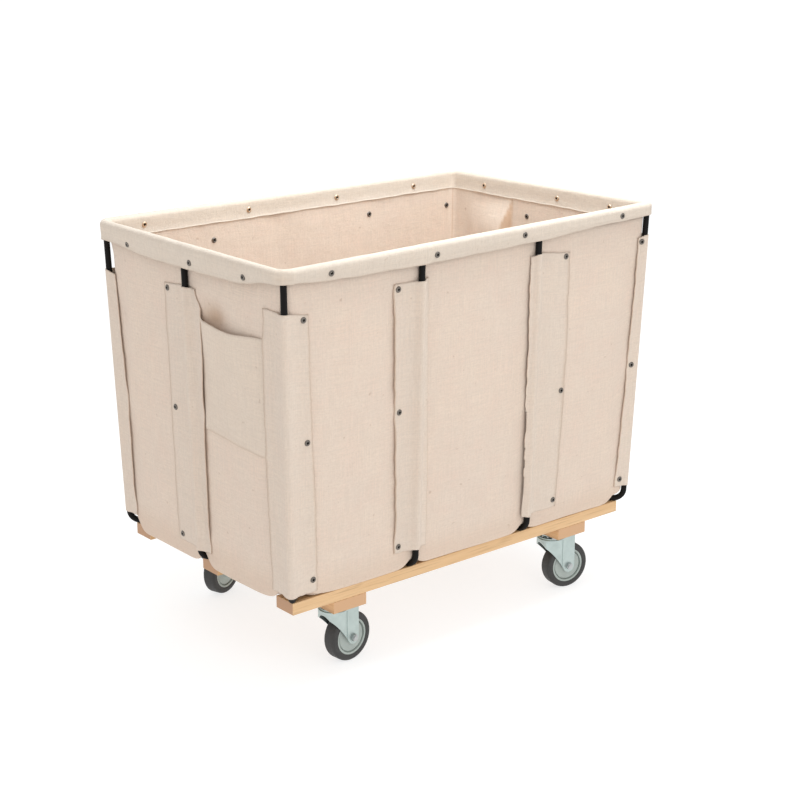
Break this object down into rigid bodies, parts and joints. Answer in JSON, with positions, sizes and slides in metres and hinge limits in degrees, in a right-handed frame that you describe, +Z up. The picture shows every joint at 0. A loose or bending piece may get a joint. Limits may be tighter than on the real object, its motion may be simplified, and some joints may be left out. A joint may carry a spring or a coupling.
{
  "type": "laundry cart",
  "caption": "Open canvas laundry basket on steel rod ribs, with a rolled rim and an end pocket, on a slatted wooden base with swivel casters.",
  "frame": {"origin": "on the floor under the middle of the basket", "axes": "+X along the long side, +Y across it, +Z up; the pocket is on the -X end"},
  "size_m": [1.0122, 0.6662, 0.871],
  "materials": {
    "basket_canvas": "natural cotton duck, unbleached",
    "hem_canvas": "natural cotton duck, folded double",
    "pocket_canvas": "natural cotton duck",
    "sleeve_canvas": "natural cotton duck with raw edges",
    "black_rib_steel": "black enamel",
    "runner_wood": "clear-finished hardwood",
    "cross_board_wood": "clear-finished hardwood",
    "rivet_metal": "dark nickel plate",
    "fastener_steel": "zinc plate",
    "zinc_steel": "bright zinc plate",
    "bearing_steel": "polished",
    "core_plastic": "moulded light grey",
    "tyre_rubber": "dark grey rubber"
  },
  "bodies": {
    "truck": {"board_screws": "fastener_steel", "canvas_body": "basket_canvas", "caster_bolts": "fastener_steel", "caster_nuts": "fastener_steel", "caster_plate_far_left": "zinc_steel", "caster_plate_far_right": "zinc_steel", "caster_plate_near_left": "zinc_steel", "caster_plate_near_right": "zinc_steel", "corner_rib_far_left": "black_rib_steel", "corner_rib_far_right": "black_rib_steel", "corner_rib_near_left": "black_rib_steel", "corner_rib_near_right": "black_rib_steel", "cross_board_left": "cross_board_wood", "cross_board_right": "cross_board_wood", "end_rib_left": "black_rib_steel", "end_rib_right": "black_rib_steel", "hem_rivets": "rivet_metal", "kingpins": "bearing_steel", "pocket": "pocket_canvas", "rib_sleeve_corner_far_left": "sleeve_canvas", "rib_sleeve_corner_far_right": "sleeve_canvas", "rib_sleeve_corner_near_left": "sleeve_canvas", "rib_sleeve_corner_near_right": "sleeve_canvas", "rib_sleeve_far_left": "sleeve_canvas", "rib_sleeve_far_right": "sleeve_canvas", "rib_sleeve_left_end": "sleeve_canvas", "rib_sleeve_near_left": "sleeve_canvas", "rib_sleeve_near_right": "sleeve_canvas", "rib_sleeve_right_end": "sleeve_canvas", "rib_straps": "fastener_steel", "rim_hem": "hem_canvas", "rim_ring": "black_rib_steel", "runner_centre": "runner_wood", "runner_far": "runner_wood", "runner_near": "runner_wood", "side_rib_left": "black_rib_steel", "side_rib_right": "black_rib_steel", "sleeve_rivets": "rivet_metal", "swivel_balls": "bearing_steel"},
    "fork_near_left": {"axle_near_left": "fastener_steel", "axle_sleeve_near_left": "bearing_steel", "caster_fork_near_left": "zinc_steel"},
    "wheel_near_left": {"tyre_near_left": "tyre_rubber", "wheel_core_near_left": "core_plastic"},
    "fork_near_right": {"axle_near_right": "fastener_steel", "axle_sleeve_near_right": "bearing_steel", "caster_fork_near_right": "zinc_steel"},
    "wheel_near_right": {"tyre_near_right": "tyre_rubber", "wheel_core_near_right": "core_plastic"},
    "fork_far_left": {"axle_far_left": "fastener_steel", "axle_sleeve_far_left": "bearing_steel", "caster_fork_far_left": "zinc_steel"},
    "wheel_far_left": {"tyre_far_left": "tyre_rubber", "wheel_core_far_left": "core_plastic"},
    "fork_far_right": {"axle_far_right": "fastener_steel", "axle_sleeve_far_right": "bearing_steel", "caster_fork_far_right": "zinc_steel"},
    "wheel_far_right": {"tyre_far_right": "tyre_rubber", "wheel_core_far_right": "core_plastic"}
  },
  "joints": [
    {"name": "swivel_near_left", "type": "hinge", "parent": "truck", "child": "fork_near_left", "pos_m": [-0.307, -0.221, 0.125], "axis": [0, 0, 1], "continuous": true},
    {"name": "roll_near_left", "type": "hinge", "parent": "fork_near_left", "child": "wheel_near_left", "pos_m": [-0.26865, -0.21764, 0.053], "axis": [-0.0872, 0.9962, 0], "continuous": true},
    {"name": "swivel_near_right", "type": "hinge", "parent": "truck", "child": "fork_near_right", "pos_m": [0.314, -0.221, 0.125], "axis": [0, 0, 1], "continuous": true},
    {"name": "roll_near_right", "type": "hinge", "parent": "fork_near_right", "child": "wheel_near_right", "pos_m": [0.35179, -0.22835, 0.053], "axis": [0.1908, 0.9816, 0], "continuous": true},
    {"name": "swivel_far_left", "type": "hinge", "parent": "truck", "child": "fork_far_left", "pos_m": [-0.307, 0.221, 0.125], "axis": [0, 0, 1], "continuous": true},
    {"name": "roll_far_left", "type": "hinge", "parent": "fork_far_left", "child": "wheel_far_left", "pos_m": [-0.27082, 0.23417, 0.053], "axis": [-0.342, 0.9397, 0], "continuous": true},
    {"name": "swivel_far_right", "type": "hinge", "parent": "truck", "child": "fork_far_right", "pos_m": [0.314, 0.221, 0.125], "axis": [0, 0, 1], "continuous": true},
    {"name": "roll_far_right", "type": "hinge", "parent": "fork_far_right", "child": "wheel_far_right", "pos_m": [0.35235, 0.21764, 0.053], "axis": [0.0872, 0.9962, 0], "continuous": true}
  ]
}
